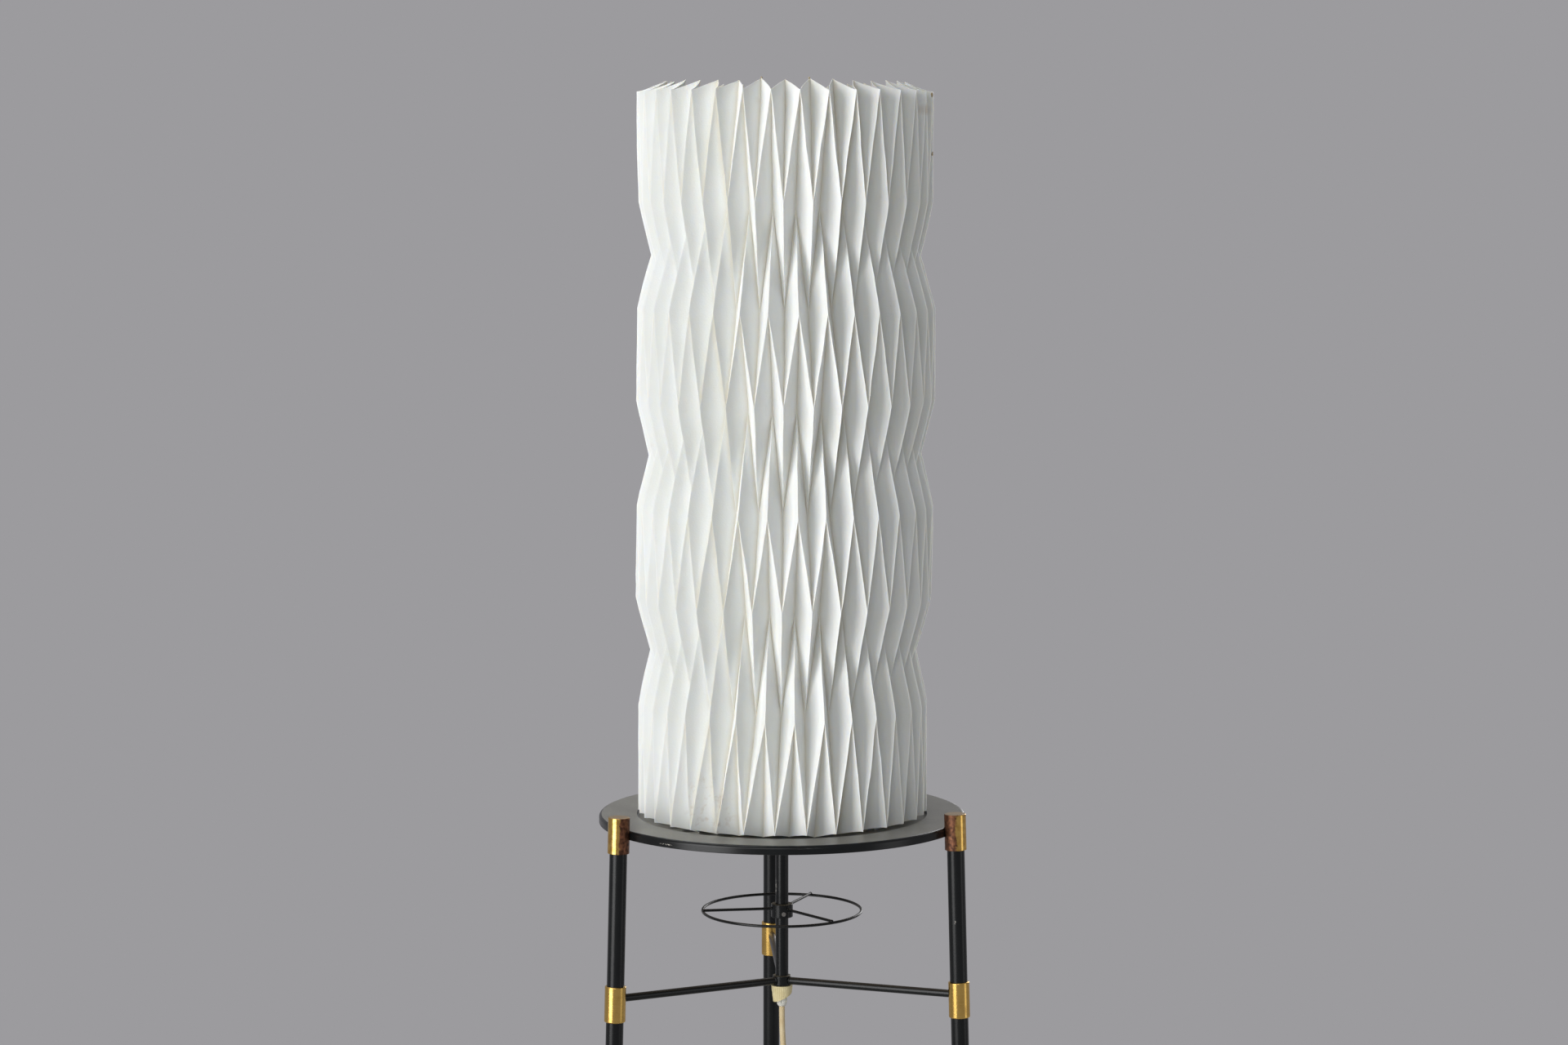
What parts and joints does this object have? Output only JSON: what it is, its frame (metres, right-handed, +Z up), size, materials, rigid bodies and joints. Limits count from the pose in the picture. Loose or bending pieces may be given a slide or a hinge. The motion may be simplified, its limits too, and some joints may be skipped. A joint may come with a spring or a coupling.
{
  "type": "pleated paper tripod lamp",
  "caption": "Tall pleated paper cylinder shade on a black metal disc with three splayed tube legs, brass caps and sleeves, a sliding wire ring, and a mains cord.",
  "frame": {"origin": "on the floor under the middle of the lamp's bounding box, without the cord; the lamp's own axis stands 20.6 mm behind it towards -Y", "axes": "+Z up, +Y towards the back leg, +X to the right seen from the front"},
  "size_m": [0.3684, 0.3811, 1.5245],
  "materials": {
    "shade_paper": "matte",
    "black_lacquer": "gloss",
    "brass": "satin",
    "rubber": "matte",
    "steel_fasteners": "satin",
    "holder_moulding": "gloss",
    "holder_ceramic": "gloss",
    "contact_brass": "satin",
    "bulb_metal": "satin",
    "bulb_glass": "satin",
    "cream_plastic": "satin",
    "clear_plastic": "gloss",
    "cord_cream": "satin",
    "switch_cream": "satin",
    "pin_metal": "polished"
  },
  "bodies": {
    "stand": {"shade_disc": "black_lacquer", "disc_screws": "steel_fasteners", "leg_back": "black_lacquer", "leg_cap_back": "brass", "brace_sleeve_back": "brass", "foot_ferrule_back": "brass", "foot_glide_back": "rubber", "brace_strut_back": "black_lacquer", "leg_left": "black_lacquer", "leg_cap_left": "brass", "brace_sleeve_left": "brass", "foot_ferrule_left": "brass", "foot_glide_left": "rubber", "brace_strut_left": "black_lacquer", "leg_right": "black_lacquer", "leg_cap_right": "brass", "brace_sleeve_right": "brass", "foot_ferrule_right": "brass", "foot_glide_right": "rubber", "brace_strut_right": "black_lacquer", "brace_hub": "black_lacquer", "stem_tube": "black_lacquer", "stem_washers": "steel_fasteners", "stem_nuts": "steel_fasteners", "arm_collar": "black_lacquer", "arm_set_screw": "steel_fasteners", "lamp_arm": "black_lacquer", "holder_housing_upper": "holder_moulding", "holder_insert_upper": "holder_ceramic", "holder_contacts_upper": "contact_brass", "holder_housing_lower": "holder_moulding", "holder_insert_lower": "holder_ceramic", "holder_contacts_lower": "contact_brass", "inner_leads": "cord_cream", "cord_bushing": "cream_plastic", "cord_grip": "clear_plastic", "cord_drop": "cord_cream", "switch_body": "switch_cream", "cord_link": "cord_cream", "cord_coil": "cord_cream", "coil_tie": "switch_cream", "cord_tail": "cord_cream", "plug_body": "switch_cream", "plug_pins": "pin_metal"},
    "shade": {"shade_paper": "shade_paper", "shade_seam_lap": "shade_paper"},
    "ring": {"ring_collar": "black_lacquer", "ring_set_screw": "steel_fasteners", "wire_ring": "black_lacquer"},
    "bulb_upper": {"bulb_base_upper": "bulb_metal", "bulb_glass_upper": "bulb_glass"},
    "bulb_lower": {"bulb_base_lower": "bulb_metal", "bulb_glass_lower": "bulb_glass"},
    "rocker": {"switch_rocker": "switch_cream"}
  },
  "joints": [
    {"name": "shade_lift", "type": "slide", "parent": "stand", "child": "shade", "axis": [0, 0, 1], "range_m": [0, 0.5]},
    {"name": "ring_slide", "type": "slide", "parent": "stand", "child": "ring", "axis": [0, 0, 1], "range_m": [-0.054, 0.072]},
    {"name": "bulb_upper_unscrew", "type": "hinge", "parent": "stand", "child": "bulb_upper", "pos_m": [0, -0.02061, 1.21], "axis": [0, 0, 1], "range_deg": [0, 1080]},
    {"name": "bulb_lower_unscrew", "type": "hinge", "parent": "stand", "child": "bulb_lower", "pos_m": [0.04323, -0.00488, 0.965], "axis": [0, 0, 1], "range_deg": [0, 1080]},
    {"name": "switch_rock", "type": "hinge", "parent": "stand", "child": "rocker", "pos_m": [0.069, -0.03061, 0.013], "axis": [0, 1, 0], "range_deg": [-14, 0]}
  ]
}
